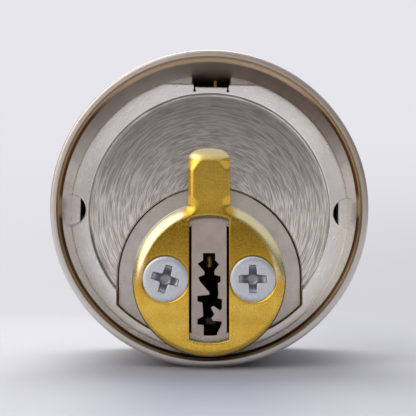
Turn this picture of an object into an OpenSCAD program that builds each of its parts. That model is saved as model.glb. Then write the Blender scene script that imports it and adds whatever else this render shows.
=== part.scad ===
// Outside key cylinder of a deadbolt. A round collar stands on the door with its rim, a turned plate
// holds the pin tumbler cylinder inside it, and a brass cam with one finger sits on the plug's end.
// Origin: centre of the collar's rim, on the collar's axis. Y runs through the door towards the
// street, X is to the right seen from the door side, and Z is up. The key is in the pins' rest
// place: every pair of pins parts exactly at the plug's surface.

/* [Collar] */
// Radius of the collar at its rim
collar_r = 18.5; // [18.3:0.1:19.5]
// Length of the collar from the rim to the street face
collar_len = 35.5; // [35.3:0.1:38]
// Radius of the collar where the taper ends at the street face
street_r = 18.1; // [18:0.05:18.3]
// Rounding of the street edge
street_round = 1.1; // [0.4:0.1:1.1]
// Radius of the bore that takes the plate
bore_r = 17.2; // [17.15:0.01:17.3]
// Width of the flat lip that meets the door
lip_w = 0.7; // [0.4:0.05:0.9]
// Depth of the chamfer between lip and bore
lip_chamfer = 0.55; // [0.3:0.05:1]
// Thickness of the street wall
street_wall = 3; // [2.5:0.1:3.2]

/* [Retaining plate] */
// Depth of the plate's bright land below the rim
land_depth = 7.7; // [7:0.1:8]
// Step from the land down to the turned floor
floor_step = 1.35; // [0.8:0.05:1.5]
// Thickness of the plate at the land
plate_t = 2.5; // [2.2:0.05:2.6]
// Radius of the turned floor
floor_r = 15.05; // [14.9:0.05:15.4]
// Width of the bevel on the land's outer edge
land_bevel = 0.6; // [0.3:0.05:0.7]
// Height of the flat above the collar's axis
flat_z = 16.1; // [15.9:0.05:16.4]
// Radius of the two half round notches
notch_r = 1.95; // [1.5:0.05:2.1]
// Width of the recess in the middle of the flat
recess_w = 4.6; // [3:0.1:6]
// Half width of the opening that the cylinder comes through
window_r = 11.5; // [11.4:0.05:11.6]
// Angle by which the flat and the notches sit off the vertical
plate_turn = 0.9; // [0:0.1:2]

/* [Cylinder] */
// Distance of the cylinder's axis below the collar's axis
axis_drop = 8.45; // [8.3:0.01:8.46]
// Radius of the plug
plug_r = 6.35; // [6.3:0.01:6.4]
// Radius of the shell's round barrel
barrel_r = 8.5; // [8.3:0.05:8.6]
// Radius of its slimmer end behind the cam
rear_barrel_r = 7.7; // [7.2:0.05:7.7]
// Width of the housing over the pin chambers
tower_w = 11; // [9:0.5:12]
// Height of that housing above the cylinder's axis
tower_h = 17.2; // [16.8:0.1:18]
// Thickness of the cap over the plug's street end
cap_t = 0.75; // [0.6:0.05:0.8]

/* [Pins] */
// Number of pin chambers
pin_count = 5; // [5:1:5]
// Distance between pins
pin_pitch = 3.81; // [3.7:0.01:4]
// Radius of every pin
pin_r = 1.45; // [1.3:0.05:1.45]
// Length of the driver pins
driver_len = 4.6; // [4:0.1:5]
// Turns in each pin spring
spring_turns = 9; // [6:1:10]

/* [Cam] */
// Radius of the cam's disc
cam_r = 8.4; // [8.2:0.05:8.6]
// Thickness of the cam
cam_t = 2.9; // [2.4:0.1:3]
// Height of the cam's face above the rim
cam_proud = 4.3; // [4:0.1:5]
// Reach of the finger from the cylinder's axis
finger_reach = 14.75; // [13:0.05:16]
// Width of the finger
finger_w = 4.7; // [4:0.1:5]
// Width of the slot over the plug's tang
slot_w = 4.46; // [4.3:0.02:4.5]
// Distance between the two cam screws
screw_spacing = 9.7; // [9.6:0.02:9.8]
// Radius of a cam screw's head
screw_head_r = 2.5; // [2.3:0.05:2.5]

/* [Hidden] */
$fn = 96;
eps = 0.01;
gap = 0.05;                 // running clearance on a radius
seat_gap = 0.03;            // clearance between pieces that are fitted and stay put

// Stations along the lock, counted from the rim towards the street
cam_face = -cam_proud;
cam_back = cam_face + cam_t;
washer_t = 0.5;
washer_back = cam_back + washer_t;
shell_rear = washer_back + 0.1;
tang_face = cam_face + 0.7;
floor_depth = land_depth + floor_step;
plate_back = land_depth + plate_t;
flange_face = floor_depth + 0.6;
flange_back = plate_back + 1.8;
armor_face = plate_back + seat_gap;
catch_len = 3.4;            // length of the notch in the armor sleeve's end
wall_inner = collar_len - street_wall;
nose_face = collar_len - 0.2;
head_floor = nose_face - 1.7;
plug_face = nose_face + gap;
cap_back = plug_face - cap_t;

// Radii and heights
plate_r = bore_r - seat_gap;
nose_r = barrel_r - 0.6;
head_r = plug_r + 0.55;
washer_r = cam_r + 0.35;
armor_in_r = 16.25;
slot_r = plug_r + 0.7;
tang_w = 3.9;
tang_corner = 0.5;
window_rise = 0.25;         // the window's arc is centred a little above the cylinder's axis
window_limit_r = bore_r - 0.9;
window_gap = 0.12;
shear_h = plug_r - 0.03;    // top of the key pins, inside the plug's surface
chamber_r = pin_r + gap;
chamber_floor = -2;
cover_w = 6.4;
cover_t = 0.8;
thread_r = 1.25;
shutter_axis = [-1.75, cap_back - 0.35];   // across and along the lock
shutter_w = 3.2;
shutter_t = 0.25;
shutter_foot = -5.6;        // from the cylinder's axis
eye_r = 0.3;                // rolled edge that the shutter turns on
pocket_len = 3.6;
first_pin = wall_inner - 3.1;

// Key pin lengths, from the street side: one for each cut in the key
KEY_PIN_LEN = [4.6, 5.4, 6.1, 4.9, 5.7];
// Driver pins with a waist resist picking
DRIVER_WAIST = [false, true, false, true, false];

// Keyway outline about the plug's axis: left side downwards, then right side upwards
KEYWAY_LEFT = [
    [-0.68, 2.9], [-0.68, 2.1], [-1.28, 1.7], [-0.52, 0.85], [-0.52, 0.5], [-1.2, 0.2],
    [-0.98, -0.3], [0.05, -1.5], [0.02, -1.72], [-1.3, -1.87], [-1.3, -2.46], [-0.75, -2.6],
    [-0.65, -4.1], [-1.3, -4.44], [-1.3, -5], [-0.6, -5.1], [-0.6, -7]
];
KEYWAY_RIGHT = [
    [0.9, -7], [0.9, -5.95], [1.4, -5], [1.4, -4.68], [0.42, -4.6], [0.27, -4.3], [0.58, -3.9],
    [0.2, -3.15], [0.5, -2.96], [1.24, -3.5], [1.43, -3.2], [1.43, -2.25], [0.97, -2.1],
    [1.04, -1.56], [0.97, -0.45], [1.28, -0.3], [1.28, 0.3], [0.6, 0.48], [0.6, 0.94],
    [1.13, 1.65], [0.68, 2.1], [0.68, 2.9]
];

// ---- Frames -------------------------------------------------------------------------------

// Sketches are drawn as seen from the door side, with their third axis running to the street
module along_lock(depth = 0) {
    mirror([0, 1, -1])
        translate([0, 0, depth])
            children();
}

// The same, centred on the cylinder's axis
module along_cylinder(depth = 0) {
    along_lock(depth)
        translate([0, -axis_drop, 0])
            children();
}

// A pin's own place: upright, on the cylinder's axis, at the pin's station
module at_pin(i) {
    translate([0, first_pin - i * pin_pitch, -axis_drop])
        children();
}

// Quarter circle points about c, from angle a0 to a1
function arc(c, r, a0, a1, steps = 8) =
    [for (k = [0 : steps]) c + r * [cos(a0 + (a1 - a0) * k / steps), sin(a0 + (a1 - a0) * k / steps)]];

// ---- Collar -------------------------------------------------------------------------------

// Section of the collar: radius against depth
function collar_section() = concat(
    [[bore_r, wall_inner], [bore_r, lip_chamfer], [collar_r - lip_w, 0], [collar_r - 0.15, 0],
     [collar_r, 0.15]],
    arc([street_r - street_round, collar_len - street_round], street_round, 0, 90),
    [[0, collar_len], [0, wall_inner]]
);

module collar() {
    color("silver")
        difference() {
            along_lock()
                rotate_extrude($fn = 180)
                    polygon(collar_section());
            along_cylinder(wall_inner - 1)
                cylinder(r = nose_r + seat_gap, h = street_wall + 2);
        }
}

// Sleeve in the bore whose end is the plate's seat, with a notch at the top for the plate's nib
module armor_sleeve() {
    color("silver")
        along_lock(armor_face)
            difference() {
                cylinder(r = bore_r - seat_gap, h = wall_inner - armor_face - gap);
                translate([0, 0, -1])
                    cylinder(r = armor_in_r, h = wall_inner);
                // Open below, where the barrel comes close to the collar
                translate([-7, -bore_r - 1, -1])
                    cube([14, 6, wall_inner]);
                rotate(-plate_turn)
                    translate([-recess_w / 2, armor_in_r - 1, -1])
                        cube([recess_w, 3, 1 + catch_len]);
            }
}

// ---- Retaining plate ----------------------------------------------------------------------

// Arch shaped outline that the cylinder's flange fills: half round above, straight sides below
module window_outline(half_w, limit_r) {
    intersection() {
        union() {
            translate([0, window_rise - axis_drop])
                circle(r = half_w);
            translate([-half_w, -bore_r])
                square([2 * half_w, bore_r - axis_drop + window_rise]);
        }
        circle(r = limit_r, $fn = 180);
    }
}

module plate_section() {
    polygon([
        [0, floor_depth], [floor_r, floor_depth], [floor_r, land_depth],
        [plate_r - land_bevel, land_depth], [plate_r, land_depth + land_bevel / 2],
        [plate_r, plate_back], [0, plate_back]
    ]);
}

// Shallow recess in the flat, with a relief slit at each end
module tab_cuts() {
    recess_z = flat_z - 0.33;
    slit_x = 2.1;
    slit_w = 0.2;
    slit_len = 0.4;
    polygon([
        [-recess_w / 2, flat_z], [-recess_w / 2 + 0.4, recess_z],
        [recess_w / 2 - 0.4, recess_z], [recess_w / 2, flat_z],
        [recess_w / 2, bore_r + 1], [-recess_w / 2, bore_r + 1]
    ]);
    for (side = [-1, 1]) {
        translate([side * slit_x - slit_w / 2, recess_z - slit_len])
            square([slit_w, slit_len + 0.2]);
        translate([side * slit_x, recess_z - slit_len])
            circle(r = 0.16, $fn = 24);
    }
}

module retaining_plate() {
    through = plate_t + 2;
    nib_w = 0.4;
    nib_foot = floor_r + 0.3;
    color("lightgray") {
        difference() {
            along_lock()
                rotate_extrude($fn = 180)
                    plate_section();
            along_lock(land_depth - 1)
                linear_extrude(through)
                    window_outline(window_r, window_limit_r);
            along_lock(land_depth - 1)
                rotate(-plate_turn)
                    linear_extrude(through) {
                        translate([-bore_r, flat_z])
                            square([2 * bore_r, 3]);
                        tab_cuts();
                    }
            along_lock(land_depth - 1)
                rotate(-plate_turn)
                    for (side = [-1, 1])
                        translate([side * (plate_r + 0.15), 0, 0])
                            cylinder(r = notch_r, h = through);
        }
        // Nib that catches in the armor sleeve's notch
        along_lock(plate_back - eps)
            rotate(-plate_turn)
                translate([0.3, nib_foot, 0])
                    cube([nib_w, bore_r - 0.1 - nib_foot, 1]);
    }
}

// ---- Cylinder shell -----------------------------------------------------------------------

module tower_outline() {
    circle(r = barrel_r);
    translate([-tower_w / 2, 0])
        square([tower_w, tower_h]);
}

module cylinder_shell() {
    tower_len = wall_inner - plate_back - gap;
    color("darkgray")
        difference() {
            union() {
                along_cylinder(shell_rear)
                    cylinder(r = rear_barrel_r, h = flange_back - shell_rear);
                along_lock(flange_face)
                    linear_extrude(flange_back - flange_face)
                        window_outline(window_r - window_gap, window_limit_r - window_gap);
                along_cylinder(plate_back + gap)
                    linear_extrude(tower_len)
                        tower_outline();
                along_cylinder(wall_inner - gap)
                    cylinder(r = nose_r, h = nose_face - wall_inner + gap);
            }
            along_cylinder(shell_rear - 1)
                cylinder(r = plug_r + gap, h = nose_face - shell_rear + 2);
            along_cylinder(head_floor)
                cylinder(r = head_r + gap, h = 3);
            for (i = [0 : pin_count - 1])
                at_pin(i)
                    cylinder(r = chamber_r, h = tower_h + 1);
            // Groove for the strip over the chambers
            along_cylinder(plate_back - 1)
                translate([-cover_w / 2, tower_h - cover_t, 0])
                    cube([cover_w, 2, tower_len + 3]);
            shell_drill_pin_places()
                cylinder(r = 0.6 + seat_gap, h = 7);
        }
}

module chamber_cover() {
    color("goldenrod")
        along_cylinder(plate_back + 2 * gap)
            translate([-cover_w / 2 + gap, tower_h - cover_t + eps, 0])
                cube([cover_w - 2 * gap, cover_t - 0.05, wall_inner - plate_back - 4 * gap]);
}

// Hardened pins in the shell's street end, in the wall beside the plug
module shell_drill_pin_places() {
    for (side = [-1, 1])
        along_cylinder(wall_inner - gap - 6)
            rotate(90 - side * 52)
                translate([7.45, 0, 0])
                    children();
}

module shell_drill_pins() {
    color("slategray")
        shell_drill_pin_places()
            cylinder(r = 0.6, h = 5.9);
}

// ---- Plug and cam -------------------------------------------------------------------------

module plug_drill_pin_places() {
    for (side = [-1, 1])
        along_cylinder(cap_back - 5)
            translate([side * 4.2, 1.6, 0])
                children();
}

// Width of the tang between arcs of the plug's own circle, with the four corners rounded
module tang_outline() {
    corner_x = tang_w / 2 - tang_corner;
    centre_r = plug_r - tang_corner;
    corner_z = sqrt(centre_r * centre_r - corner_x * corner_x);
    square([tang_w, 2 * corner_z], center = true);
    intersection() {
        circle(r = plug_r);
        square([2 * corner_x * plug_r / centre_r, 3 * plug_r], center = true);
    }
    for (side = [-1, 1], end = [-1, 1])
        translate([side * corner_x, end * corner_z])
            circle(r = tang_corner);
}

module plug() {
    color("rosybrown")
        difference() {
            union() {
                along_cylinder(washer_back)
                    cylinder(r = plug_r, h = cap_back - washer_back);
                along_cylinder(head_floor + gap)
                    cylinder(r = head_r, h = cap_back - head_floor - gap);
                // Flat tang that reaches through the washer and the cam's slot
                along_cylinder(tang_face)
                    linear_extrude(washer_back - tang_face + 1)
                        tang_outline();
            }
            along_cylinder(tang_face - 1)
                linear_extrude(plug_face - tang_face + 2)
                    polygon(concat(KEYWAY_LEFT, KEYWAY_RIGHT));
            // Pocket that the dust shutter swings in, and the upper bearing of its eye
            along_cylinder(cap_back - pocket_len)
                translate([-2.2, shutter_foot - 0.1, 0])
                    cube([3.9, 8.85, pocket_len + 1]);
            at_shutter(2)
                cylinder(r = eye_r + seat_gap, h = 1.6);
            for (i = [0 : pin_count - 1])
                at_pin(i)
                    translate([0, 0, chamber_floor])
                        rotate_extrude()
                            polygon([[0, 0], [0.4, 0], [chamber_r, chamber_r - 0.4],
                                     [chamber_r, 10], [0, 10]]);
            cam_screw_places(washer_back - 1)
                cylinder(r = thread_r + seat_gap, h = 6.4);
            plug_drill_pin_places()
                cylinder(r = 0.6 + seat_gap, h = 6);
        }
}

// Cap pressed on the plug, with the key's entry
module plug_cap() {
    color("silver")
        along_cylinder(cap_back + eps)
            difference() {
                cylinder(r = head_r, h = cap_t - eps);
                translate([0, 0, -1])
                    linear_extrude(cap_t + 2)
                        intersection() {
                            polygon(concat(KEYWAY_LEFT, KEYWAY_RIGHT));
                            translate([-head_r, shutter_foot + 0.1])
                                square(2 * head_r);
                        }
            }
}

// Upright on the shutter's own axis, at a height above the cylinder's axis
module at_shutter(height) {
    translate([shutter_axis[0], shutter_axis[1], height - axis_drop])
        children();
}

// Spring steel leaf that closes the keyway behind the cap and swings aside when a key comes in
module dust_shutter() {
    color("gray") {
        at_shutter(shutter_foot)
            translate([0, -shutter_t / 2, 0])
                cube([shutter_w, shutter_t, 8.65]);
        at_shutter(shutter_foot)
            cylinder(r = eye_r, h = 9.1);
    }
}

module plug_drill_pins() {
    color("slategray")
        plug_drill_pin_places()
            translate([0, 0, eps])
                cylinder(r = 0.6, h = 4.95);
}

module cam_screw_places(depth) {
    for (side = [-1, 1])
        along_cylinder(depth)
            translate([side * screw_spacing / 2, 0, 0])
                children();
}

// Slot with ends concentric to the plug
module slot_outline() {
    intersection() {
        circle(r = slot_r);
        square([slot_w, 3 * slot_r], center = true);
    }
}

module cam_washer() {
    color("gainsboro")
        difference() {
            along_cylinder(cam_back)
                linear_extrude(washer_t)
                    difference() {
                        circle(r = washer_r, $fn = 128);
                        slot_outline();
                    }
            cam_screw_places(cam_back - 1)
                cylinder(r = thread_r + 0.1, h = washer_t + 2);
        }
}

// Finger with a crowned tip and rounded corners
module finger_outline() {
    corner_r = 1.1;
    crown_r = 3.2;
    shoulder = finger_reach - 1.25;
    translate([-finger_w / 2, slot_r])
        square([finger_w, shoulder - slot_r]);
    intersection() {
        translate([0, finger_reach - crown_r])
            circle(r = crown_r);
        translate([-finger_w / 2 + corner_r, shoulder - 1])
            square([finger_w - 2 * corner_r, 3]);
    }
    for (side = [-1, 1])
        translate([side * (finger_w / 2 - corner_r), shoulder])
            intersection() {
                circle(r = corner_r);
                square([2 * corner_r, 2 * (finger_reach - shoulder - 0.42)], center = true);
            }
}

module cam() {
    bevel_w = 0.9;
    bevel_h = 0.55;
    color("goldenrod")
        difference() {
            union() {
                along_cylinder()
                    rotate_extrude($fn = 128)
                        polygon([[0, cam_face], [cam_r - bevel_w, cam_face],
                                 [cam_r, cam_face + bevel_h], [cam_r, cam_back], [0, cam_back]]);
                along_cylinder(cam_face)
                    linear_extrude(cam_t)
                        finger_outline();
            }
            along_cylinder(cam_face - 1)
                linear_extrude(cam_t + 2)
                    slot_outline();
            cam_screw_places(cam_face - 1)
                cylinder(r = thread_r + 0.1, h = cam_t + 2);
            cam_screw_places(cam_face - eps)
                cylinder(r1 = screw_head_r + 0.08, r2 = thread_r + 0.08,
                         h = screw_head_r - thread_r + eps);
        }
}

module cam_screws() {
    head_face = cam_face + 0.04;
    head_h = screw_head_r - thread_r;
    recess_w = 0.72;
    recess_span = 2.9;
    color("lightsteelblue")
        cam_screw_places(head_face)
            difference() {
                union() {
                    cylinder(r1 = screw_head_r, r2 = thread_r, h = head_h);
                    cylinder(r = thread_r, h = 8.4);
                }
                for (turn = [0, 90])
                    rotate(turn)
                        translate([-recess_span / 2, -recess_w / 2, -1])
                            cube([recess_span, recess_w, 2]);
            }
}

// ---- Pins and springs ---------------------------------------------------------------------

// Brass pin with a crowned top at the plug's surface and a conical tip on the key
module key_pin(i) {
    len = KEY_PIN_LEN[i];
    tip_r = 0.4;
    color("gold")
        at_pin(i)
            translate([0, 0, shear_h - len])
                rotate_extrude()
                    polygon([[0, 0], [tip_r, 0], [pin_r, pin_r - tip_r],
                             [pin_r, len - 0.2], [pin_r - 0.3, len - 0.05], [0, len]]);
}

module driver_pin(i) {
    waist_r = DRIVER_WAIST[i] ? pin_r - 0.5 : pin_r;
    color("gainsboro")
        at_pin(i)
            translate([0, 0, plug_r + 0.08])
                rotate_extrude()
                    polygon([[0, 0], [pin_r - 0.15, 0], [pin_r, 0.15], [pin_r, 0.9],
                             [waist_r, 1.2], [waist_r, driver_len - 1.2],
                             [pin_r, driver_len - 0.9], [pin_r, driver_len - 0.15],
                             [pin_r - 0.15, driver_len], [0, driver_len]]);
}

// Rings of points around a helix, then the skin between them
module coil_spring(coil_r, wire_r, height, turns) {
    steps = 14;
    sides = 6;
    rings = turns * steps;
    rise = height - 2 * wire_r;
    points = [
        for (k = [0 : rings])
            let (a = 360 * k / steps, z = wire_r + rise * k / rings)
                for (s = [0 : sides - 1])
                    let (b = 360 * s / sides, r = coil_r + wire_r * cos(b))
                        [r * cos(a), r * sin(a), z + wire_r * sin(b)]
    ];
    skin = [
        for (k = [0 : rings - 1])
            for (s = [0 : sides - 1])
                let (t = (s + 1) % sides)
                    [k * sides + s, k * sides + t, (k + 1) * sides + t, (k + 1) * sides + s]
    ];
    first = [for (s = [sides - 1 : -1 : 0]) s];
    last = [for (s = [0 : sides - 1]) rings * sides + s];
    polyhedron(points, concat(skin, [first], [last]), convexity = 10);
}

module pin_spring(i) {
    wire_r = 0.17;
    foot = plug_r + 0.08 + driver_len + 0.02;
    color("silver")
        at_pin(i)
            translate([0, 0, foot])
                coil_spring(pin_r - 0.12 - wire_r, wire_r, tower_h - cover_t - foot, spring_turns);
}

collar();
retaining_plate();
armor_sleeve();
cylinder_shell();
chamber_cover();
shell_drill_pins();
plug();
plug_cap();
dust_shutter();
plug_drill_pins();
cam_washer();
cam();
cam_screws();
for (i = [0 : pin_count - 1]) {
    key_pin(i);
    driver_pin(i);
    pin_spring(i);
}
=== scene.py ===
import math

import bpy
import numpy as np
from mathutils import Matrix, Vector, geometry


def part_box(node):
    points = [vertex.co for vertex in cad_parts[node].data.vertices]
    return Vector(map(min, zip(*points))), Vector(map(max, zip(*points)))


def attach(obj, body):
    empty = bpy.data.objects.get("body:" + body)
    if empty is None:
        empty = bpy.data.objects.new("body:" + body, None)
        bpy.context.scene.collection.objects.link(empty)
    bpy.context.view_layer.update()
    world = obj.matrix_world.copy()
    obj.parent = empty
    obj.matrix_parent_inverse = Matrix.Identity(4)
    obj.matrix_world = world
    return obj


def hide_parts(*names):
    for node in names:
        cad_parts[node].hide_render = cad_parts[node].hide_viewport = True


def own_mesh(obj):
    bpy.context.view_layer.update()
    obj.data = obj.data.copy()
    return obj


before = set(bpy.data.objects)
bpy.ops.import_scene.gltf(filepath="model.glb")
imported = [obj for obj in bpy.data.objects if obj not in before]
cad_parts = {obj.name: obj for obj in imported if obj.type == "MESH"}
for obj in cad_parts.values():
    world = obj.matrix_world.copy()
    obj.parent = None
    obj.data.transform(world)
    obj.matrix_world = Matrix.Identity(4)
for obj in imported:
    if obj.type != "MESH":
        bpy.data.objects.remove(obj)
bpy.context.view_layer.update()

# The lock lies along Y: the door side faces -Y and the street side +Y. Z is up, the way the cam's
# finger points. Sizes are in millimetres, and a mesh is brought to metres when it is linked.
MM = 0.001
scene = bpy.context.scene


def box_mm(node):
    return tuple(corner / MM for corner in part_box(node))


# ---- Sizes, from the frame -----------------------------------------------------------------

collar_lo, collar_hi = box_mm("collar")
sleeve_lo, sleeve_hi = box_mm("armor_sleeve")
plate_lo, _ = box_mm("retaining_plate")
washer_lo, washer_hi = box_mm("cam_washer")
cam_lo, cam_hi = box_mm("cam")
screws_lo, screws_hi = box_mm("cam_screws")
plug_lo, _ = box_mm("plug")

# Height of the plug's axis. The collar's axis is at 0.
AXIS_Z = (washer_lo.z + washer_hi.z) / 2

# Collar: a cup that tapers a little towards the street, with a chamfer inside its lip
COLLAR_R = collar_hi.x
STREET_Y = collar_hi.y
STREET_R = 18.1
STREET_ROUND = 1.1
STREET_WALL = 3.0
NOSE_HOLE_R = 7.93
BORE_R = sleeve_hi.x + 0.03
LIP_IN_R = COLLAR_R - 0.7
LIP_ROUND = 0.2
LIP_FALL = 0.23
CHAMFER_DEPTH = 0.55

# Retaining plate: a land with a flat on top, a step down to a turned floor, notches and a window
LAND_Y = plate_lo.y
PLATE_BACK_Y = sleeve_lo.y - 0.03
PLATE_R = BORE_R - 0.01
FLOOR_R = 15.05
FLOOR_Y = LAND_Y + 1.35
FLAT_Z = 16.1
PLATE_TURN = math.radians(0.9)
NOTCH_R = 1.95
NOTCH_X = PLATE_R + 0.15
RECESS_HALF = 2.3
RECESS_DEPTH = 0.34
WINDOW_R = 11.5
WINDOW_Z = AXIS_Z + 0.25
WINDOW_LIMIT_R = BORE_R - 0.9
CORNER_Z = -math.sqrt(FLOOR_R ** 2 - WINDOW_R ** 2)

# Parts of the collar beside the plate's flat and in its notches, a little below the land
KEY_EDGE_R = BORE_R + 0.04
KEY_SINK = 0.08
KEY_INNER_X = 16.05
GAP = 0.03

# Cam, its screws, and the plug's tang in its slot
CAM_FACE_Y = cam_lo.y
CAM_BACK_Y = cam_hi.y
CAM_R = AXIS_Z - cam_lo.z
FINGER_REACH = cam_hi.z - AXIS_Z
FINGER_W = 4.7
SLOT_HALF = 2.23
SLOT_R = 7.05
SCREW_X = 4.85
SCREW_HEAD_R = screws_hi.x - SCREW_X
SCREW_FACE_Y = screws_lo.y
SCREW_END_Y = screws_hi.y
SHANK_R = 1.25
TANG_FACE_Y = plug_lo.y
WASHER_BACK_Y = washer_hi.y

# Pins
PIN_COUNT = 5
WIRE_R = 0.17


# ---- Outlines ------------------------------------------------------------------------------
# An outline is an array of (x, z) points. Edges of material run counterclockwise as seen from
# the door side, and holes run clockwise.


def arc(centre, radius, start, end, steps):
    turn = np.radians(np.linspace(start, end, steps + 1))
    return np.column_stack((centre[0] + radius * np.cos(turn), centre[1] + radius * np.sin(turn)))


def circle(radius, centre=(0.0, 0.0), steps=96):
    return arc(centre, radius, 0, 360, steps)[:-1]


def resample(loop, step):
    """Adds points along the long edges of a loop."""
    points = []
    for a, b in zip(loop, np.roll(loop, -1, axis=0)):
        parts = max(1, math.ceil(np.linalg.norm(b - a) / step))
        points.extend(a + (b - a) * k / parts for k in range(parts))
    return np.array(points)


def turned(points, angle):
    """Points turned clockwise about the collar's axis, as seen from the door side."""
    c, s = math.cos(angle), math.sin(angle)
    return points @ np.array([[c, -s], [s, c]])


def mirrored(outline):
    """The outline on the other side of the axis, still counterclockwise."""
    return (outline * (-1, 1))[::-1]


def meeting(edge, radius):
    """Where a circle about the axis meets one about the notch's middle, as angles about each middle."""
    reach = math.acos((edge ** 2 + NOTCH_X ** 2 - radius ** 2) / (2 * edge * NOTCH_X))
    bend = math.acos((NOTCH_X ** 2 + radius ** 2 - edge ** 2) / (2 * NOTCH_X * radius))
    return math.degrees(reach), math.degrees(bend)


def edge_distance(points, loops):
    """Distance of each point from the nearest edge of the loops."""
    nearest = np.full(len(points), np.inf)
    for loop in loops:
        for a, b in zip(loop, np.roll(loop, -1, axis=0)):
            along = b - a
            share = np.clip(((points - a) @ along) / max(along @ along, 1e-12), 0, 1)
            gap = np.linalg.norm(points - a - share[:, None] * along, axis=1)
            nearest = np.minimum(nearest, gap)
    return nearest


def inside(points, loops):
    """True for the points in the material between the loops."""
    crossings = np.zeros(len(points), int)
    x, z = points[:, 0], points[:, 1]
    for loop in loops:
        for (ax, az), (bx, bz) in zip(loop, np.roll(loop, -1, axis=0)):
            spans = (az > z) != (bz > z)
            with np.errstate(divide="ignore", invalid="ignore"):
                crossings += spans & (x < ax + (z - az) * (bx - ax) / (bz - az))
    return crossings % 2 == 1


def unit(vectors):
    return vectors / np.maximum(np.linalg.norm(vectors, axis=1), 1e-9)[:, None]


def inset(loop, amount):
    """The loop moved into the material."""
    before = unit(loop - np.roll(loop, 1, axis=0))
    after = unit(np.roll(loop, -1, axis=0) - loop)
    mean = unit(before + after)
    inward = np.column_stack((-mean[:, 1], mean[:, 0]))
    normal = np.column_stack((-after[:, 1], after[:, 0]))
    miter = np.clip(np.sum(inward * normal, axis=1), 0.4, 1)
    return loop + inward * (amount / miter)[:, None]


def smooth(value, low, high):
    t = np.clip((value - low) / (high - low), 0, 1)
    return t * t * (3 - 2 * t)


def between_edges(triangles, edges):
    """True for the triangles in the material, found by crossing the edges from the outside inwards."""
    walls = {frozenset(edge) for edge in edges}
    sides = {}
    for t, corners in enumerate(triangles.tolist()):
        for k in range(3):
            sides.setdefault(frozenset((corners[k], corners[k - 1])), []).append(t)
    beside = [[] for _ in triangles]
    found = {}
    for side, pair in sides.items():
        if len(pair) == 1:
            found[pair[0]] = side in walls
        else:
            beside[pair[0]].append((pair[1], side in walls))
            beside[pair[1]].append((pair[0], side in walls))
    waiting = list(found)
    while waiting:
        t = waiting.pop()
        for other, wall in beside[t]:
            if other not in found:
                found[other] = found[t] != wall
                waiting.append(other)
    return np.array([found[t] for t in range(len(triangles))])


# ---- Solids --------------------------------------------------------------------------------


class Solid:
    """One closed mesh made of rows of points. kind is the material index of the faces made next."""

    def __init__(self):
        self.points = []
        self.faces = []
        self.kinds = []
        self.kind = 0

    def row(self, loop, depth):
        first = len(self.points)
        depths = np.broadcast_to(depth, len(loop))
        self.points.extend((x, y, z) for (x, z), y in zip(loop, depths))
        return list(range(first, len(self.points)))

    def face(self, *corners):
        self.faces.append(corners)
        self.kinds.append(self.kind)

    def band(self, a, b):
        """Joins two rows. A row of an outline joined to a deeper one faces outwards."""
        for i in range(len(a)):
            j = (i + 1) % len(a)
            self.face(a[i], b[i], b[j], a[j])

    def strip(self, a, b):
        """Joins two open rows."""
        for i in range(len(a) - 1):
            self.face(a[i], b[i], b[i + 1], a[i + 1])

    def cap(self, rows, loose=(), street=False):
        """Fills the material between rows, through the loose points. It faces the door or the street."""
        ids = [i for row in rows for i in row] + list(loose)
        flat = np.array([(self.points[i][0], self.points[i][2]) for i in ids])
        edges = []
        first = 0
        for row in rows:
            count = len(row)
            edges.extend((first + i, first + (i + 1) % count) for i in range(count))
            first += count
        found = geometry.delaunay_2d_cdt([tuple(p) for p in flat], edges, [], 0, 1e-7, True)
        corner = [origin[0] for origin in found[3]]
        triangles = np.array([[corner[i] for i in face] for face in found[2]])
        for a, b, c in triangles[between_edges(triangles, edges)]:
            self.face(ids[a], *((ids[c], ids[b]) if street else (ids[b], ids[c])))


def relief(solid, loops, front, rings, spacing):
    """Makes a modelled front between loops and returns its edge rows.

    front gives the depth of points, rings are the distances from the loops that get points of their
    own, and spacing is that of the points between them.
    """
    rim = [solid.row(loop, front(loop)) for loop in loops]
    loose = []
    for ring in rings:
        for loop in loops:
            moved = inset(loop, ring)
            clear = inside(moved, loops) & (edge_distance(moved, loops) > 0.93 * ring)
            loose.append(moved[clear])
    lo, hi = loops[0].min(axis=0), loops[0].max(axis=0)
    rows = np.arange(lo[1], hi[1], spacing * 0.866)
    grid = np.array([(x + spacing / 2 * (k % 2), z) for k, z in enumerate(rows)
                     for x in np.arange(lo[0], hi[0], spacing)])
    grid = grid[inside(grid, loops)]
    loose.append(grid[edge_distance(grid, loops) > max(rings) + spacing * 0.5])
    loose = np.concatenate(loose)
    solid.cap(rim, solid.row(loose, front(loose)))
    return rim


def link(solid, name, body, slot, materials, *nodes, sharp=32.0):
    """Makes the object of a solid. It rides on a body and stands for the CAD nodes."""
    mesh = bpy.data.meshes.new(name)
    mesh.from_pydata([tuple(c * MM for c in point) for point in solid.points], [], solid.faces)
    for mat in materials:
        mesh.materials.append(mat)
    mesh.polygons.foreach_set("material_index", solid.kinds)
    mesh.polygons.foreach_set("use_smooth", [True] * len(mesh.polygons))
    mesh.set_sharp_from_angle(angle=math.radians(sharp))
    mesh.update()
    obj = bpy.data.objects.new(name, mesh)
    scene.collection.objects.link(obj)
    weighted = obj.modifiers.new("weighted", "WEIGHTED_NORMAL")
    weighted.keep_sharp = True
    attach(obj, body)
    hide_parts(*nodes)
    return obj


def stack(solid, outline, levels):
    """A block from rows of one outline: levels are pairs of inset and depth, from the door inwards."""
    rows = [solid.row(inset(outline, amount) if amount else outline, depth) for amount, depth in levels]
    solid.cap(rows[:1])
    for a, b in zip(rows, rows[1:]):
        solid.band(a, b)
    solid.cap(rows[-1:], street=True)


# ---- Material nodes ------------------------------------------------------------------------


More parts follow.
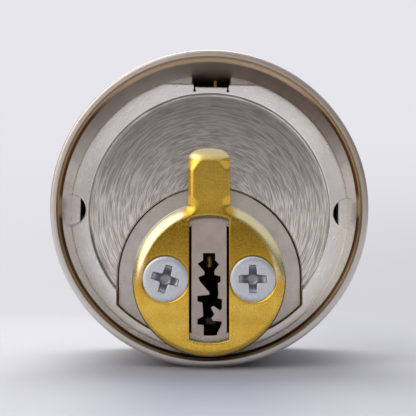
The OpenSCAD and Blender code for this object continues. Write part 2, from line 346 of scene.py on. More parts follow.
class Nodes:
    """Makes the nodes of one tree and links their sockets."""

    def __init__(self, tree):
        self.tree = tree
        tree.nodes.clear()

    def set(self, socket, value):
        if isinstance(value, bpy.types.NodeSocket):
            self.tree.links.new(value, socket)
        else:
            socket.default_value = value

    def add(self, kind, inputs=None, **settings):
        node = self.tree.nodes.new(kind)
        for key, value in settings.items():
            setattr(node, key, value)
        for key, value in (inputs or {}).items():
            self.set(node.inputs[key], value)
        return node

    def math(self, operation, a, b=0.0):
        return self.add("ShaderNodeMath", {0: a, 1: b}, operation=operation).outputs[0]

    def times(self, a, *others):
        for other in others:
            a = self.math("MULTIPLY", a, other)
        return a

    def vector(self, operation, a, b=(0, 0, 0)):
        return self.add("ShaderNodeVectorMath", {0: a, 1: b}, operation=operation).outputs[0]

    def length(self, a):
        return self.add("ShaderNodeVectorMath", {0: a}, operation="LENGTH").outputs["Value"]

    def scale(self, a, factor):
        return self.add("ShaderNodeVectorMath", {0: a, "Scale": factor}, operation="SCALE").outputs[0]

    def join(self, x, y, z):
        return self.add("ShaderNodeCombineXYZ", {0: x, 1: y, 2: z}).outputs[0]

    def parts(self, a):
        return self.add("ShaderNodeSeparateXYZ", {0: a}).outputs

    def remap(self, value, low, high, to_low=0.0, to_high=1.0, soft=True):
        kind = "SMOOTHSTEP" if soft else "LINEAR"
        return self.add("ShaderNodeMapRange", {0: value, 1: low, 2: high, 3: to_low, 4: to_high},
                        interpolation_type=kind).outputs[0]

    def mix(self, factor, a, b):
        node = self.add("ShaderNodeMix", {0: factor}, data_type="RGBA")
        self.set(node.inputs[6], a)
        self.set(node.inputs[7], b)
        return node.outputs[2]

    def noise(self, vector, scale, detail=3.0, rough=0.55):
        return self.add("ShaderNodeTexNoise", {"Vector": vector, "Scale": scale, "Detail": detail,
                                               "Roughness": rough}).outputs[0]

    def bump(self, height, strength, distance):
        return self.add("ShaderNodeBump", {"Height": height, "Strength": strength,
                                           "Distance": distance}).outputs[0]

    def place(self, offset=(0, 0, 0)):
        """Object coordinates in millimetres, less an offset."""
        at = self.scale(self.add("ShaderNodeTexCoord").outputs["Object"], 1 / MM)
        return self.vector("SUBTRACT", at, offset)


def rgb(r, g, b):
    return (r, g, b, 1.0)


def metal(name, paint):
    """A metal whose colour, roughness, normal and tangent come from paint(nodes)."""
    mat = bpy.data.materials.new(name)
    mat.use_nodes = True
    n = Nodes(mat.node_tree)
    inputs = {"Metallic": 1.0}
    inputs.update(paint(n))
    shader = n.add("ShaderNodeBsdfPrincipled", inputs)
    n.add("ShaderNodeOutputMaterial", {0: shader.outputs[0]})
    return mat


def polar(n, at):
    """Radius about the Y axis, and a seam-free direction with it."""
    x, _, z = n.parts(at)
    flat = n.join(x, 0.0, z)
    radius = n.length(flat)
    return radius, n.scale(flat, n.math("DIVIDE", 1.0, n.math("MAXIMUM", radius, 0.001)))


def rings_noise(n, at, across, along, detail=3.0):
    """Noise drawn out round the Y axis: across is its grain per mm of radius, along its grain per turn."""
    radius, direction = polar(n, at)
    wide = n.scale(direction, along)
    shifted = n.vector("ADD", wide, n.join(0.0, n.math("MULTIPLY", radius, across), 0.0))
    return n.noise(shifted, 1.0, detail)


def paint_collar(n):
    at = n.place()
    radius, _ = polar(n, at)
    across, depth, high = n.parts(at)
    beside = n.math("ABSOLUTE", across)
    grain = rings_noise(n, at, 3.0, 14.0, 4.0)
    cloud = n.noise(at, 0.22, 3.0)
    colour = n.mix(n.remap(cloud, 0.3, 0.7), rgb(0.625, 0.575, 0.535), rgb(0.665, 0.615, 0.575))
    # Painted light and shade on the bore: lighter low down, and a brown painted shade towards its top and its
    # right side
    bore = n.times(n.remap(radius, BORE_R + 0.10, BORE_R + 0.02), n.remap(depth, 25.0, 20.0))
    colour = n.mix(n.times(bore, n.remap(high, 1.0, -5.0)), colour, rgb(0.90, 0.83, 0.77))
    # Painted shade: darker and browner towards the bore's top and its right side
    bore_painted_shade = n.times(bore, n.remap(high, 1.5, 9.0), n.remap(across, -12.0, 10.0, 0.45, 1.0))
    colour = n.mix(bore_painted_shade, colour, rgb(0.25, 0.175, 0.125))
    # Behind the plate's recess it is bare brass, then black as painted shade deep in the gap
    recess = n.times(bore, n.remap(beside, RECESS_HALF + 0.45, RECESS_HALF + 0.05), n.remap(high, 14.0, 15.0))
    brass = n.times(recess, n.remap(depth, LAND_Y + 2.6, LAND_Y + 3.1))
    colour = n.mix(brass, colour, rgb(0.42, 0.22, 0.03))
    # Painted shade: near black deep in the gap behind the recess
    painted_gap_shade = n.times(recess, n.remap(depth, LAND_Y + 3.5, LAND_Y + 3.8))
    colour = n.mix(painted_gap_shade, colour, rgb(0.012, 0.008, 0.005))
    # Brass shows through on the chamfer, lighter towards the top as a painted highlight. Where it meets the
    # bore a dark line is painted shade and dark reflection, weaker at the sides as a painted highlight and
    # fading out towards the top
    chamfer = n.times(n.remap(radius, LIP_IN_R - 0.02, LIP_IN_R - 0.10),
                      n.remap(depth, CHAMFER_DEPTH + 0.5, CHAMFER_DEPTH + 0.1))
    # The chamfer's brass is lighter towards the top: a painted highlight
    worn = n.mix(n.remap(high, 8.0, 14.0), rgb(0.46, 0.33, 0.20), rgb(0.60, 0.45, 0.31))
    colour = n.mix(chamfer, colour, worn)
    # Painted shade and dark reflection: a dark line where the chamfer meets the bore
    line = n.times(chamfer, n.remap(radius, BORE_R + 0.36, BORE_R + 0.24),
                   n.remap(high, 15.5, 10.0, 0.0, 0.95),
                   n.remap(n.math("ABSOLUTE", high), 0.6, 1.6, 0.25, 1.0))
    colour = n.mix(line, colour, rgb(0.075, 0.028, 0.006))
    # Painted light and shade on the lip: above, it is lighter and warmer on the left and darker on the right
    lip = n.times(n.remap(radius, LIP_IN_R - 0.03, LIP_IN_R + 0.03), n.remap(depth, 0.5, 0.2))
    lip_painted_light = n.mix(n.remap(across, -12.0, 12.0), rgb(0.70, 0.61, 0.54), rgb(0.52, 0.44, 0.37))
    colour = n.mix(lip, colour, n.mix(n.remap(high, -6.0, 4.0), rgb(0.66, 0.61, 0.58), lip_painted_light))
    rough = n.remap(grain, 0.25, 0.75, 0.30, 0.42, soft=False)
    rough = n.math("ADD", rough, n.times(bore, n.remap(high, 4.0, 14.0, -0.12, 0.22)))
    return {"Base Color": colour, "Roughness": rough, "Normal": n.bump(grain, 0.12, 0.02 * MM)}


def paint_turned(n):
    at = n.place()
    radius, direction = polar(n, at)
    fine = rings_noise(n, at, 9.0, 6.0, 3.0)
    coarse = rings_noise(n, at, 4.5, 3.0, 3.0)
    streak = n.math("ADD", n.times(fine, 0.6), n.times(coarse, 0.4))
    colour = n.mix(n.remap(streak, 0.38, 0.62), rgb(0.38, 0.345, 0.325), rgb(0.72, 0.67, 0.645))
    rough = n.remap(streak, 0.3, 0.7, 0.25, 0.16, soft=False)
    tangent = n.add("ShaderNodeVectorTransform", {0: direction}, vector_type="VECTOR",
                    convert_from="OBJECT", convert_to="WORLD").outputs[0]
    return {"Base Color": colour, "Roughness": rough, "Anisotropic": 0.65, "Tangent": tangent,
            "Normal": n.bump(streak, 0.30, 0.009 * MM)}


def paint_land(n):
    at = n.place()
    grain = rings_noise(n, at, 5.0, 20.0, 3.0)
    cloud = n.noise(at, 0.3, 2.0)
    colour = n.mix(n.remap(cloud, 0.3, 0.7), rgb(0.88, 0.845, 0.82), rgb(0.95, 0.92, 0.90))
    return {"Base Color": colour, "Roughness": n.remap(grain, 0.3, 0.7, 0.26, 0.34, soft=False),
            "Normal": n.bump(grain, 0.08, 0.02 * MM)}


def paint_brass(n):
    """Raw brass, with a painted highlight paler along the upper bevels and the finger's tip, and a painted
    dark reflection on the upper face.
    """
    at = n.place((0, 0, AXIS_Z))
    radius, _ = polar(n, at)
    across, _, high = n.parts(at)
    speck = n.noise(at, 7.0, 4.0, 0.65)
    cloud = n.noise(at, 0.45, 3.0, 0.6)
    colour = n.mix(n.remap(cloud, 0.3, 0.7), rgb(0.82, 0.50, 0.070), rgb(0.92, 0.61, 0.115))
    colour = n.mix(n.remap(speck, 0.35, 0.7, 0.0, 0.5), colour, rgb(0.66, 0.37, 0.03))
    # Painted dark reflection: the upper face of the disc and the lower finger are darker
    upper_face_painted_reflection = n.times(n.remap(high, -3.5, 1.5), n.remap(high, 8.6, 6.4), n.remap(speck, 0.25, 0.6, 0.9, 0.55))
    colour = n.mix(upper_face_painted_reflection, colour, rgb(0.32, 0.17, 0.008))
    # Painted highlight: paler along the upper bevels of the disc and at the finger's tip
    disc = n.times(n.remap(radius, CAM_R - 1.25, CAM_R - 0.75), n.remap(high, -1.0, 2.0),
                   n.remap(n.math("ABSOLUTE", across), FINGER_W / 2, FINGER_W / 2 + 1.0))
    painted_bevel_highlight = n.math("MAXIMUM", disc, n.remap(high, FINGER_REACH - 1.5, FINGER_REACH - 0.8, 0.0, 0.8))
    colour = n.mix(painted_bevel_highlight, colour, rgb(0.96, 0.80, 0.44))
    return {"Base Color": colour, "Roughness": n.remap(speck, 0.3, 0.7, 0.20, 0.32, soft=False),
            "Normal": n.bump(speck, 0.10, 0.05 * MM)}


def paint_zinc(n):
    at = n.place()
    grain = n.noise(at, 5.0, 4.0, 0.7)
    colour = n.mix(n.remap(grain, 0.3, 0.7), rgb(0.62, 0.63, 0.67), rgb(0.74, 0.75, 0.79))
    # Painted shade: the cross recess is darker deeper down
    recess_painted_shade = n.remap(n.parts(at)[1], SCREW_FACE_Y + 0.12, SCREW_FACE_Y + 0.5, 0.0, 0.75)
    colour = n.mix(recess_painted_shade, colour, rgb(0.22, 0.21, 0.21))
    return {"Base Color": colour, "Roughness": n.remap(grain, 0.3, 0.7, 0.28, 0.42, soft=False),
            "Normal": n.bump(grain, 0.15, 0.03 * MM)}


def clouded(low, high, rough):
    """Paint for a plain metal whose colour drifts between two tones, with a fine grain."""
    def paint(n):
        at = n.place()
        cloud = n.noise(at, 0.5, 3.0)
        grain = n.noise(at, 9.0, 3.0, 0.6)
        colour = n.mix(n.remap(cloud, 0.3, 0.7), rgb(*low), rgb(*high))
        return {"Base Color": colour,
                "Roughness": n.remap(grain, 0.3, 0.7, rough - 0.05, rough + 0.05, soft=False),
                "Normal": n.bump(grain, 0.08, 0.03 * MM)}
    return paint


def paint_plug(n):
    """Tarnished nickel, with a near black painted shade behind the tang's face and in the slot."""
    at = n.place()
    cloud = n.noise(at, 0.5, 3.0)
    grain = n.noise(at, 9.0, 3.0, 0.6)
    colour = n.mix(n.remap(cloud, 0.3, 0.7), rgb(0.47, 0.38, 0.34), rgb(0.55, 0.46, 0.41))
    depth = n.parts(at)[1]
    # Painted shade: near black behind the tang's face and in the slot
    painted_gap_shade = n.times(n.remap(depth, TANG_FACE_Y + 0.08, TANG_FACE_Y + 0.5),
                     n.remap(depth, WASHER_BACK_Y + 3.0, WASHER_BACK_Y + 1.0))
    colour = n.mix(painted_gap_shade, colour, rgb(0.010, 0.006, 0.003))
    return {"Base Color": colour, "Roughness": n.remap(grain, 0.3, 0.7, 0.31, 0.41, soft=False),
            "Normal": n.bump(grain, 0.08, 0.03 * MM)}


def paint_washer(n):
    """Bright steel, with painted shade: near black inside the cam's slot and dark round the cam's lower edge.
    """
    at = n.place((0, 0, AXIS_Z))
    radius, _ = polar(n, at)
    grain = rings_noise(n, at, 6.0, 10.0, 3.0)
    colour = n.mix(n.remap(grain, 0.3, 0.7), rgb(0.62, 0.58, 0.55), rgb(0.72, 0.68, 0.65))
    # Painted shade: dark brown over the lower half, round the cam's lower edge
    colour = n.mix(n.remap(n.parts(at)[2], 4.0, -1.0, 0.0, 0.9), colour, rgb(0.09, 0.06, 0.035))
    # Painted shade: near black where it shows through the cam's slot
    colour = n.mix(n.remap(radius, CAM_R - 0.5, CAM_R - 0.9), colour, rgb(0.010, 0.006, 0.003))
    return {"Base Color": colour, "Roughness": n.remap(grain, 0.3, 0.7, 0.22, 0.32, soft=False),
            "Normal": n.bump(grain, 0.1, 0.02 * MM)}


collar_nickel = metal("collar_nickel", paint_collar)
turned_steel = metal("turned_steel", paint_turned)
land_steel = metal("land_steel", paint_land)
cam_brass = metal("cam_brass", paint_brass)
zinc = metal("zinc", paint_zinc)
raw_brass = metal("raw_brass", clouded((0.62, 0.36, 0.07), (0.74, 0.46, 0.12), 0.4))
shell_nickel = metal("shell_nickel", clouded((0.55, 0.495, 0.445), (0.64, 0.585, 0.535), 0.30))
plug_nickel = metal("plug_nickel", paint_plug)
washer_steel = metal("washer_steel", paint_washer)
worn_brass = metal("worn_brass", clouded((0.52, 0.30, 0.14), (0.62, 0.38, 0.20), 0.3))
pin_brass = metal("pin_brass", clouded((0.70, 0.45, 0.12), (0.80, 0.54, 0.18), 0.3))
pin_nickel = metal("pin_nickel", clouded((0.60, 0.58, 0.53), (0.68, 0.66, 0.61), 0.3))
spring_steel = metal("spring_steel", clouded((0.46, 0.46, 0.48), (0.56, 0.56, 0.58), 0.32))
step_steel = metal("step_steel", clouded((0.60, 0.56, 0.53), (0.68, 0.64, 0.61), 0.4))
plate_edge = metal("plate_edge", clouded((0.50, 0.45, 0.40), (0.60, 0.55, 0.50), 0.34))
black_oxide = metal("black_oxide", clouded((0.014, 0.014, 0.016), (0.03, 0.03, 0.034), 0.5))


# ---- Collar --------------------------------------------------------------------------------


def flat_key():
    """Right half of the collar's own flat that meets the plate's, beside the recess."""
    low = FLAT_Z + GAP
    side = RECESS_HALF + 0.12
    start = math.degrees(math.asin(low / KEY_EDGE_R))
    stop = math.degrees(math.acos(side / KEY_EDGE_R))
    return np.array([(side, low), *arc((0, 0), KEY_EDGE_R, start, stop, 16)])


def notch_key():
    """The part of the collar that shows in the outer half of the right notch."""
    radius = NOTCH_R + 0.01
    start = math.degrees(math.acos((KEY_INNER_X - NOTCH_X) / radius))
    reach, bend = meeting(KEY_EDGE_R, radius)
    return np.array([*arc((NOTCH_X, 0), radius, 360 - start, 180 + bend, 8)[:-1],
                     *arc((0, 0), KEY_EDGE_R, -reach, reach, 12),
                     *arc((NOTCH_X, 0), radius, 180 - bend, start, 8)[1:]])


def collar_profile():
    """Pairs of radius and depth, from the street wall out through the bore, the lip and the outside."""
    profile = [(BORE_R, y) for y in (STREET_Y - STREET_WALL, PLATE_BACK_Y, LAND_Y, 3.0, 1.0,
                                     CHAMFER_DEPTH + 0.06)]
    for t in np.linspace(0, 1, 7)[1:-1]:
        sag = 0.05 * math.sin(math.pi * t)
        profile.append((BORE_R + (LIP_IN_R - BORE_R) * t + sag, CHAMFER_DEPTH * (1 - t) + sag))
    # The lip is softly crowned, and rounds over into the outside
    crown_r = LIP_IN_R + 0.25
    for r in np.linspace(LIP_IN_R, COLLAR_R - LIP_ROUND, 6):
        profile.append((r, 0.28 * (r - crown_r) ** 2))
    profile.extend(arc((COLLAR_R - LIP_ROUND, LIP_FALL), LIP_ROUND, -60, 0, 4))
    for y in (4.0, 12.0, 20.0, 28.0):
        share = y / (STREET_Y - STREET_ROUND)
        profile.append((COLLAR_R + (STREET_R - COLLAR_R) * share, y))
    profile.extend(arc((STREET_R - STREET_ROUND, STREET_Y - STREET_ROUND), STREET_ROUND, 0, 90, 9))
    return profile


def make_collar():
    solid = Solid()
    rows = [solid.row(circle(r, steps=288), y) for r, y in collar_profile()]
    for a, b in zip(rows, rows[1:]):
        solid.band(a, b)
    hole = circle(NOSE_HOLE_R, (0, AXIS_Z), 128)
    edge = 0.15
    inner = solid.row(hole, STREET_Y - STREET_WALL)
    mid = solid.row(hole, STREET_Y - edge)
    outer = solid.row(inset(hole[::-1], edge)[::-1], STREET_Y)
    solid.cap([rows[0], inner[::-1]])
    solid.cap([rows[-1], outer[::-1]], street=True)
    solid.band(mid, inner)
    solid.band(outer, mid)
    # The keys beside the plate are steel like its land
    steel = 1
    solid.kind = steel
    levels = [(0.05, LAND_Y + KEY_SINK), (0, LAND_Y + KEY_SINK + 0.05), (0, PLATE_BACK_Y - 0.02)]
    for key in (flat_key(), notch_key()):
        for outline in (mirrored(key), key):
            stack(solid, turned(outline, PLATE_TURN), levels)
    return link(solid, "collar_body", "housing", "satin_nickel", [collar_nickel, land_steel], "collar")


# ---- Retaining plate -----------------------------------------------------------------------


def plate_outline():
    """Round plate with a flat at the top, a recess and two slits in the flat, and two notches."""
    slit_x, slit_half, slit_len, slit_end_r = 2.1, 0.1, 0.4, 0.16
    reach, bend = meeting(PLATE_R, NOTCH_R)
    top = math.degrees(math.asin(FLAT_Z / PLATE_R))
    floor = FLAT_Z - RECESS_DEPTH
    knee = (RECESS_HALF - 0.1, FLAT_Z - RECESS_DEPTH * 0.7)

    def slit(x):
        neck = floor - slit_len + 0.1
        end = arc((x, floor - slit_len), slit_end_r, 40, -220, 10)
        down = [(x + slit_half, floor), (x + slit_half, neck)]
        up = [(x - slit_half, neck), (x - slit_half, floor)]
        return [*down, *end, *up]

    right = arc((0, 0), PLATE_R, reach, top, 60)
    flat = [(RECESS_HALF, FLAT_Z), knee, *slit(slit_x),
            *slit(-slit_x), (-knee[0], knee[1]), (-RECESS_HALF, FLAT_Z)]
    left = arc((0, 0), PLATE_R, 180 - top, 180 - reach, 60)
    left_notch = arc((-NOTCH_X, 0), NOTCH_R, bend, -bend, 28)[1:-1]
    low = arc((0, 0), PLATE_R, 180 + reach, 360 - reach, 150)
    right_notch = arc((NOTCH_X, 0), NOTCH_R, 180 + bend, 180 - bend, 28)[1:-1]
    return turned(np.array([*right, *flat, *left, *left_notch, *low, *right_notch]), PLATE_TURN)


def window_arch():
    """Upper side of the window, from its left corner on the step over the cylinder to its right one."""
    side = [(WINDOW_R, z) for z in np.linspace(WINDOW_Z, CORNER_Z, 5)[1:]]
    left = [(-x, z) for x, z in side[::-1]]
    return np.array([*left, *arc((0, WINDOW_Z), WINDOW_R, 180, 0, 90), *side])


def window_low():
    """Lower side of the window, from its right corner along an arc just inside the bore to its left one."""
    dip = math.degrees(math.acos(WINDOW_R / WINDOW_LIMIT_R))
    low = arc((0, 0), WINDOW_LIMIT_R, 360 - dip, 180 + dip, 70)
    side = [(WINDOW_R, z) for z in np.linspace(CORNER_Z, low[0][1], 5)[:-1]]
    return np.array([*side, *low, *[(-x, z) for x, z in side[::-1]]])


def make_plate():
    """The land leans in a little above, and a step leads down to the turned floor."""
    solid = Solid()
    outline = resample(plate_outline(), 0.5)
    arch, low = window_arch(), window_low()
    lean = math.degrees(math.asin(-CORNER_Z / FLOOR_R))
    step = arc((0, 0), FLOOR_R, -lean, 180 + lean, 200)
    hole = np.array([*step[::-1], *low[1:-1]])
    basin = np.array([*step, *arch[1:-1]])
    window = np.array([*arch, *low[1:-1]])

    def land(points):
        r = np.hypot(points[:, 0], points[:, 1])
        tilt = 0.09 * np.clip(PLATE_R - r, 0, None) * smooth(points[:, 1], -2.0, 9.0)
        worn = np.clip(1 - edge_distance(points, [outline]) / 0.1, 0, 1)
        lip = np.clip(1 - (r - FLOOR_R) / 0.07, 0, 1)
        return LAND_Y + tilt + 0.02 * worn ** 2 + 0.02 * lip ** 2

    def floor(points):
        r = np.hypot(points[:, 0], points[:, 1])
        fillet = np.clip(1 - (FLOOR_R - 0.04 - r) / 0.1, 0, 1)
        lip = np.clip(1 - edge_distance(points, [window]) / 0.12, 0, 1)
        ripple = 0.002 * np.sin(r * 2 * math.pi / 0.62)
        return FLOOR_Y + ripple - 0.05 * fillet ** 2 + 0.06 * lip ** 2

    turned_floor, bright_land, back_edge, step_wall, brass = range(5)
    solid.kind = bright_land
    top, inner = relief(solid, [outline, hole], land, (0.05, 0.1, 0.25), 0.4)
    solid.kind = turned_floor
    foot = relief(solid, [basin], floor, (0.05, 0.12, 0.2), 0.31)[0]
    solid.kind = step_wall
    count = len(step)
    left, right = foot[count - 1], foot[0]
    solid.strip(inner[:count], foot[:count][::-1])
    solid.kind = brass
    back_row = solid.row(window, PLATE_BACK_Y)
    over = len(arch)
    solid.strip([left, *foot[count:], right], back_row[:over])
    solid.strip(inner[count:], back_row[over:])
    solid.face(inner[count - 1], right, back_row[over - 1], back_row[over], inner[count])
    solid.face(inner[-1], back_row[-1], back_row[0], left, inner[0])
    solid.kind = back_edge
    edge = solid.row(outline, PLATE_BACK_Y - 0.1)
    back = [solid.row(inset(outline, 0.1), PLATE_BACK_Y), back_row]
    solid.band(top, edge)
    solid.band(edge, back[0])
    solid.cap(back, street=True)
    # Nib that catches in the sleeve's notch
    solid.kind = brass
    nib_x, nib_w, length = 0.3, 0.4, 1.0
    foot_z, tip_z = FLOOR_R + 0.3, BORE_R - 0.1
    nib = np.array([(nib_x, foot_z), (nib_x + nib_w, foot_z), (nib_x + nib_w, tip_z), (nib_x, tip_z)])
    stack(solid, turned(nib, PLATE_TURN),
          [(0.05, PLATE_BACK_Y - 0.2), (0, PLATE_BACK_Y - 0.15), (0, PLATE_BACK_Y + length - 0.05),
           (0.05, PLATE_BACK_Y + length)])
    return link(solid, "retaining_plate_body", "housing", "turned_plate",
                [turned_steel, land_steel, plate_edge, step_steel, raw_brass], "retaining_plate")


# ---- Cam -----------------------------------------------------------------------------------


def cam_outline():
    """Disc with one finger. The corners between them are filleted, and the tip is a soft arch."""
    half = FINGER_W / 2
    fillet = 0.55
    fillet_z = math.sqrt((CAM_R + fillet) ** 2 - (half + fillet) ** 2)
    lean = math.degrees(math.atan2(fillet_z, half + fillet))
    tip_h = 1.55
    shoulder = FINGER_REACH - tip_h
    disc = arc((0, 0), CAM_R, 180 - lean, 360 + lean, 150)
    right = arc((half + fillet, fillet_z), fillet, 180 + lean, 180, 6)[1:]
    turn = np.radians(np.linspace(0, 180, 41))
    power = 2 / 2.5
    tip = np.column_stack((half * np.sign(np.cos(turn)) * np.abs(np.cos(turn)) ** power,
                           shoulder + tip_h * np.abs(np.sin(turn)) ** power))
    left = arc((-half - fillet, fillet_z), fillet, 0, -lean, 6)[:-1]
    return resample(np.array([*disc, *right, *tip, *left]), 0.25)


def slot_outline():
    """Slot with ends concentric to the plug, clockwise."""
    reach = math.degrees(math.acos(SLOT_HALF / SLOT_R))
    ends = [*arc((0, 0), SLOT_R, reach, 180 - reach, 14), *arc((0, 0), SLOT_R, 180 + reach, 360 - reach, 14)]
    return resample(np.array(ends)[::-1], 0.3)


def make_cam():
    """The face is coined: a wide soft bevel over the shoulders and the tip, a narrow one below."""
    solid = Solid()
    outline = cam_outline()
    slot = slot_outline()
    sinks = [circle(SCREW_HEAD_R + 0.1, (side * SCREW_X, 0), 64)[::-1] for side in (-1, 1)]

    def face(points):
        x, z = points[:, 0], points[:, 1]
        outer = edge_distance(points, [outline])
        inner = edge_distance(points, [slot, *sinks])
        upper = smooth(z, -3.0, 4.0)
        width = 0.30 + 0.95 * upper * (1 - 0.30 * smooth(x, -1.0, 3.0))
        finger = smooth(z, CAM_R - 0.6, CAM_R + 0.9)
        tip = smooth(z, FINGER_REACH - 2.6, FINGER_REACH - 1.3)
        width = width * (1 - finger) + finger * (0.60 + 0.95 * tip)
        fall = 0.16 + 0.36 * upper
        fall = fall * (1 - finger) + finger * (0.34 + 0.30 * tip)
        bevel = np.clip(1 - outer / width, 0, 1)
        lip = np.clip(1 - inner / 0.12, 0, 1)
        # Tool steps below the slot
        r = np.hypot(x, z)
        below = smooth(-z, 6.0, 6.8) * smooth(1.9 - np.abs(x), 0, 0.5) * smooth(8.0 - r, 0, 0.3)
        # The whole face is slightly crowned, and the finger falls away from it
        crown = 0.006 * np.clip(z, -5.0, 6.0) ** 2 + 0.035 * np.clip(z - 6.0, 0, None)
        steps = 0.02 * np.sin((r - SLOT_R) * 2 * math.pi / 0.26) * below * smooth(inner, 0.05, 0.15)
        return CAM_FACE_Y + crown + fall * bevel ** 1.8 + 0.07 * lip ** 1.6 + steps

    loops = [outline, slot, *sinks]
    rim = relief(solid, loops, face, (0.06, 0.13, 0.26, 0.45, 0.7), 0.24)
    bores = [circle(SHANK_R + 0.1, (side * SCREW_X, 0), 64)[::-1] for side in (-1, 1)]
    cone_y = CAM_FACE_Y + SCREW_HEAD_R - SHANK_R
    necks = [solid.row(bore, cone_y) for bore in bores]
    edge_y = CAM_BACK_Y - 0.12
    edges = [solid.row(outline, edge_y)]
    backs = [solid.row(inset(outline, 0.12), CAM_BACK_Y), solid.row(slot, CAM_BACK_Y),
             *[solid.row(bore, CAM_BACK_Y) for bore in bores]]
    solid.band(rim[0], edges[0])
    solid.band(edges[0], backs[0])
    solid.band(rim[1], backs[1])
    for k in (0, 1):
        solid.band(rim[2 + k], necks[k])
        solid.band(necks[k], backs[2 + k])
    solid.cap(backs, street=True)
    solid.points = [(x, y, z + AXIS_Z) for x, y, z in solid.points]
    return link(solid, "cam_body", "plug_assembly", "cam_brass", [cam_brass], "cam")


# ---- Cam screws ----------------------------------------------------------------------------


def cross_outline(reach, half, fillet, twist):
    """Cross recess with rounded inner corners, counterclockwise, turned clockwise by twist degrees."""
    turn = math.radians(twist)
    corner = half + fillet
    wing = np.array([(reach, -half * 0.85), (reach, half * 0.85),
                     *arc((corner, corner), fillet, 270, 180, 6)])
    wings = [turned(wing, turn - quarter * math.pi / 2) for quarter in range(4)]
    return resample(np.concatenate(wings), 0.15)


def make_screw(name, side, twist):
    """Countersunk screw with a cross recess that deepens towards its middle."""
    solid = Solid()
    mouth = cross_outline(1.50, 0.42, 0.20, twist)
    root = inset(mouth, 0.07)
    rim = circle(SCREW_HEAD_R, steps=96)

    def recess(points):
        r = np.hypot(points[:, 0], points[:, 1])
        return SCREW_FACE_Y + 0.35 + 0.75 * smooth(-r, -1.45, -0.35)

    def head(points):
        r = np.hypot(points[:, 0], points[:, 1])
        worn = np.clip(1 - edge_distance(points, [mouth]) / 0.10, 0, 1)
        return SCREW_FACE_Y + 0.02 + 0.09 * worn ** 2 + 0.07 * smooth(r, SCREW_HEAD_R - 0.28, SCREW_HEAD_R)

    face = relief(solid, [rim, mouth[::-1]], head, (0.05, 0.1, 0.2), 0.3)
    pit = relief(solid, [root], recess, (0.1,), 0.14)
    solid.band(face[1], pit[0][::-1])
    profile = [(SCREW_HEAD_R, 0.16), (SCREW_HEAD_R - 0.04, 0.24), (SHANK_R + 0.1, 1.36)]
    length = SCREW_END_Y - SCREW_FACE_Y
    pitch, thread_depth, thread_start = 0.5, 0.22, 1.6
    for k in range(int((length - thread_start - 0.3) / (pitch / 2))):
        profile.append((SHANK_R - thread_depth * (k % 2), thread_start + k * pitch / 2))
    profile += [(SHANK_R - 0.25, length - 0.1), (SHANK_R - 0.4, length)]
    rows = [solid.row(circle(r, steps=96), SCREW_FACE_Y + y) for r, y in profile]
    for a, b in zip([face[0]] + rows, rows):
        solid.band(a, b)
    solid.cap([rows[-1]], street=True)
    solid.points = [(x + side * SCREW_X, y, z + AXIS_Z) for x, y, z in solid.points]
    return link(solid, name, "plug_assembly", "zinc_screw", [zinc], "cam_screws")


# ---- Pin springs ---------------------------------------------------------------------------


def make_spring(k):
    """Coil spring with closed end turns."""
    solid = Solid()
    low, high = box_mm(f"pin_spring_{k}")
    pin_lo, pin_hi = box_mm(f"driver_pin_{k}")
    x, y = (pin_lo.x + pin_hi.x) / 2, (pin_lo.y + pin_hi.y) / 2
    turns, steps, sides = 9, 24, 10
    closed = 2 * WIRE_R + 0.04
    coil_r = (high.x - low.x) / 2 - WIRE_R - 0.01
    rise = high.z - low.z - 2 * WIRE_R
    for i in range(turns * steps + 1):
        a = 2 * math.pi * i / steps
        z = low.z + WIRE_R + np.interp(i / steps, [0, 1, turns - 1, turns], [0, closed, rise - closed, rise])
        for s in range(sides):
            b = 2 * math.pi * s / sides
            r = coil_r + WIRE_R * math.cos(b)
            solid.points.append((x + r * math.cos(a), y + r * math.sin(a), z + WIRE_R * math.sin(b)))
    rings = [list(range(i * sides, (i + 1) * sides)) for i in range(turns * steps + 1)]
    for a, b in zip(rings, rings[1:]):
        solid.band(a, b)
    solid.face(*rings[0])
    solid.face(*rings[-1][::-1])
    coil = link(solid, f"pin_spring_{k}_coil", "housing", "spring_steel", [spring_steel], f"pin_spring_{k}",
                sharp=50.0)
    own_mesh(coil)


# ---- Stage ---------------------------------------------------------------------------------

PALE = (0.800, 0.790, 0.840)


def backdrop(n, sideways, rise):
    """Pale backdrop colour, dimmer low down and towards the right."""
    right = n.remap(sideways, -1.0, 1.0, 0.055, 0.175, soft=False)
    dim = n.times(right, n.remap(rise, 0.0, 0.17, 1.0, 0.0))
    return n.scale(n.join(*PALE), n.math("SUBTRACT", 1.0, dim))


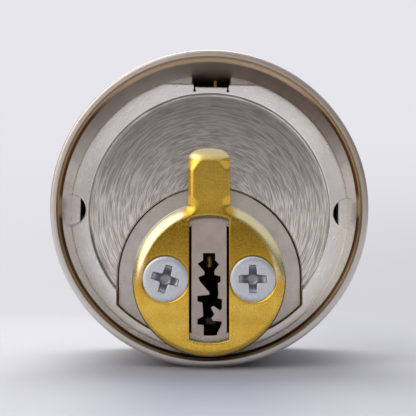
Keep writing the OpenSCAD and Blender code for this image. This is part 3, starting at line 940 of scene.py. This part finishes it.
def make_world():
    """Soft studio: bright low in front and overhead, dark between, with two soft panels."""
    world = bpy.data.worlds.new("studio")
    scene.world = world
    world.use_nodes = True
    n = Nodes(world.node_tree)
    direction = n.add("ShaderNodeTexCoord").outputs["Generated"]
    right, _, up = n.parts(direction)
    low = n.scale(n.join(1.0, 0.985, 0.97), n.remap(up, 0.095, 0.135, 0.92, 0.13))
    dome = n.scale(n.join(0.92, 0.98, 1.10), n.remap(up, 0.31, 0.50, 0.0, 0.50))
    total = n.vector("ADD", low, dome)
    panels = [
        # azimuth, elevation, half width and softness in degrees, level
        (-40, 32, 13, 16, 1.7),
        (187, 52, 12, 16, 5.4),
    ]
    for azimuth, elevation, half, soft, glow in panels:
        a, e = math.radians(azimuth), math.radians(elevation)
        aim = (math.sin(a) * math.cos(e), -math.cos(a) * math.cos(e), math.sin(e))
        towards = n.add("ShaderNodeVectorMath", {0: direction, 1: aim}, operation="DOT_PRODUCT")
        inner, outer = math.cos(math.radians(half)), math.cos(math.radians(half + soft))
        level = n.remap(towards.outputs["Value"], outer, inner, 0.0, glow)
        total = n.vector("ADD", total, n.scale(n.join(1.0, 0.975, 0.935), level))
    light = n.add("ShaderNodeBackground", {0: total, 1: 1.0})
    seen = n.add("ShaderNodeBackground", {0: backdrop(n, n.math("DIVIDE", right, 0.2), up), 1: 1.0})
    pick = n.add("ShaderNodeMixShader", {0: n.add("ShaderNodeLightPath").outputs["Is Camera Ray"],
                                         1: light.outputs[0], 2: seen.outputs[0]})
    n.add("ShaderNodeOutputWorld", {0: pick.outputs[0]})


def floor_material():
    """Matt and pale near the lock, and the backdrop's own colour farther away."""
    mat = bpy.data.materials.new("pale_floor")
    mat.use_nodes = True
    n = Nodes(mat.node_tree)
    at = n.place()
    x, y, _ = n.parts(at)
    distance = n.length(at)
    sideways = n.math("DIVIDE", x, 60.0)
    grain = n.noise(at, 0.4, 3.0)
    # Painted shade: the floor is darker towards the right
    tone = n.mix(n.remap(sideways, -0.5, 0.5, soft=False), rgb(0.68, 0.68, 0.71), rgb(0.53, 0.53, 0.56))
    tone = n.mix(n.remap(grain, 0.3, 0.7, 0.0, 0.03), tone, rgb(0.4, 0.4, 0.42))
    # A soft bluish shade in front of the lock
    shade = n.times(n.remap(n.math("ABSOLUTE", x), 13.0, 2.0, 0.0, 0.75), n.remap(y, 2.0, -5.0),
                    n.remap(distance, 70.0, 30.0))
    tone = n.mix(shade, tone, rgb(0.42, 0.425, 0.50))
    matt = n.add("ShaderNodeBsdfDiffuse", {0: tone})
    glow = n.add("ShaderNodeEmission", {0: backdrop(n, sideways, 0.0)})
    far = n.remap(distance, 70.0, 260.0)
    blend = n.add("ShaderNodeMixShader", {0: far, 1: matt.outputs[0], 2: glow.outputs[0]})
    n.add("ShaderNodeOutputMaterial", {0: blend.outputs[0]})
    return mat


def make_floor():
    """Floor under the lock, in metres, that runs into the backdrop without a line."""
    half = 3.0
    z = collar_lo.z * MM
    corners = [(-half, -half, z), (half, -half, z), (half, half, z), (-half, half, z)]
    mesh = bpy.data.meshes.new("floor")
    mesh.from_pydata(corners, [], [(0, 1, 2, 3)])
    mesh.materials.append(floor_material())
    floor = bpy.data.objects.new("floor", mesh)
    scene.collection.objects.link(floor)


def make_camera():
    """In front of the plug, tipped up towards the collar's axis."""
    right, distance, height = 0.275, 105, -9.21
    tip_up, pan = 4.904, 0.223
    data = bpy.data.cameras.new("camera")
    data.sensor_width = 36.0
    data.lens = 78.64
    data.clip_start = 0.005
    data.clip_end = 20.0
    camera = bpy.data.objects.new("camera", data)
    camera.location = (right * MM, -distance * MM, height * MM)
    camera.rotation_euler = (math.radians(90 + tip_up), 0.0, math.radians(pan))
    scene.collection.objects.link(camera)
    scene.camera = camera


# ---- CAD parts that stay -------------------------------------------------------------------


def finish_nodes():
    """Gives each CAD part that stays its material."""
    finishes = {
        "armor_sleeve": collar_nickel, "cylinder_shell": shell_nickel, "chamber_cover": pin_brass,
        "shell_drill_pins": black_oxide, "plug": plug_nickel, "plug_drill_pins": black_oxide,
        "plug_cap": collar_nickel, "dust_shutter": black_oxide, "cam_washer": washer_steel,
    }
    for pin in range(1, PIN_COUNT + 1):
        finishes[f"key_pin_{pin}"] = pin_brass
        finishes[f"driver_pin_{pin}"] = pin_nickel
    for node, finish in finishes.items():
        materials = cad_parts[node].data.materials
        materials.clear()
        materials.append(finish)


def round_edges(node, width, worn=None):
    """Rounds the sharp edges of a CAD part, which may show the worn metal under its plating."""
    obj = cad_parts[node]
    weld = obj.modifiers.new("weld", "WELD")
    weld.merge_threshold = 0.001 * MM
    bevel = obj.modifiers.new("bevel", "BEVEL")
    bevel.width = width * MM
    bevel.segments = 2
    bevel.limit_method = "ANGLE"
    bevel.angle_limit = math.radians(40)
    bevel.harden_normals = False
    if worn:
        obj.data.materials.append(worn)
        bevel.material = 1


# ---- Scene ---------------------------------------------------------------------------------

scene.view_settings.view_transform = "Standard"
make_world()
make_floor()
make_camera()
make_collar()
make_plate()
make_cam()
make_screw("cam_screw_left", -1, 17)
make_screw("cam_screw_right", 1, 0)
for pin in range(1, PIN_COUNT + 1):
    make_spring(pin)
finish_nodes()
round_edges("plug", 0.06, worn_brass)
round_edges("plug_cap", 0.08)
round_edges("cylinder_shell", 0.10, raw_brass)
round_edges("cam_washer", 0.05)
round_edges("armor_sleeve", 0.12)
